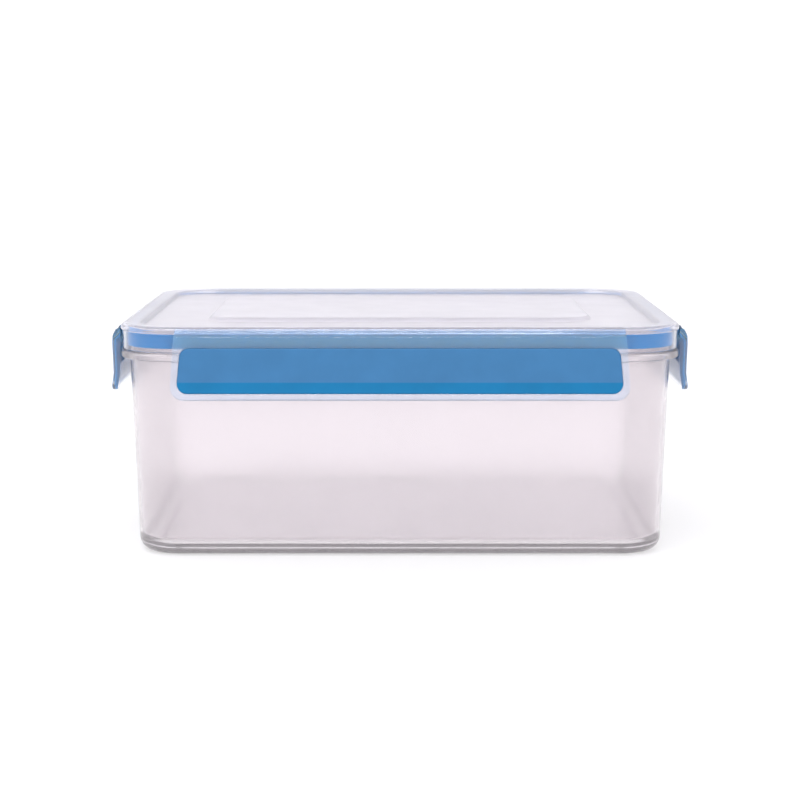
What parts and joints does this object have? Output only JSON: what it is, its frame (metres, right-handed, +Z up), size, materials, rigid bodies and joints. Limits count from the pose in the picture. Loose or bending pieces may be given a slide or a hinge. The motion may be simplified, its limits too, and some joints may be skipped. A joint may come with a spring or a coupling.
{
  "type": "snap lid food container",
  "caption": "Rectangular clear food storage container with a removable clear lid, a blue seal and a hinged snap latch flap with a soft blue grip on each side.",
  "frame": {"origin": "middle of the footprint, on the surface that the container stands on", "axes": "+X along the container's length to its right, +Y towards its back, +Z up through the lid"},
  "size_m": [0.2636, 0.2016, 0.1048],
  "materials": {
    "clear_tub": "satin",
    "clear_lid": "gloss",
    "clear_latch": "gloss",
    "blue_seal": "satin",
    "blue_grip": "matte"
  },
  "bodies": {
    "container": {"container_body": "clear_tub"},
    "lid": {"lid": "clear_lid", "lid_seal": "blue_seal", "front_film_hinge": "clear_latch", "back_film_hinge": "clear_latch", "left_film_hinge": "clear_latch", "right_film_hinge": "clear_latch"},
    "front_latch": {"front_latch_flap": "clear_latch", "front_grip_pad": "blue_grip"},
    "back_latch": {"back_latch_flap": "clear_latch", "back_grip_pad": "blue_grip"},
    "left_latch": {"left_latch_flap": "clear_latch", "left_grip_pad": "blue_grip"},
    "right_latch": {"right_latch_flap": "clear_latch", "right_grip_pad": "blue_grip"}
  },
  "joints": [
    {"name": "lid_lift", "type": "slide", "parent": "container", "child": "lid", "axis": [0, 0, 1], "range_m": [0, 0.06]},
    {"name": "front_latch_hinge", "type": "hinge", "parent": "lid", "child": "front_latch", "pos_m": [0, -0.09663, 0.10234], "axis": [-1, 0, 0], "range_deg": [0, 120], "deforming": ["front_film_hinge"]},
    {"name": "back_latch_hinge", "type": "hinge", "parent": "lid", "child": "back_latch", "pos_m": [0, 0.09663, 0.10234], "axis": [1, 0, 0], "range_deg": [0, 120], "deforming": ["back_film_hinge"]},
    {"name": "left_latch_hinge", "type": "hinge", "parent": "lid", "child": "left_latch", "pos_m": [-0.12763, 0, 0.10234], "axis": [0, 1, 0], "range_deg": [0, 120], "deforming": ["left_film_hinge"]},
    {"name": "right_latch_hinge", "type": "hinge", "parent": "lid", "child": "right_latch", "pos_m": [0.12763, 0, 0.10234], "axis": [0, -1, 0], "range_deg": [0, 120], "deforming": ["right_film_hinge"]}
  ]
}
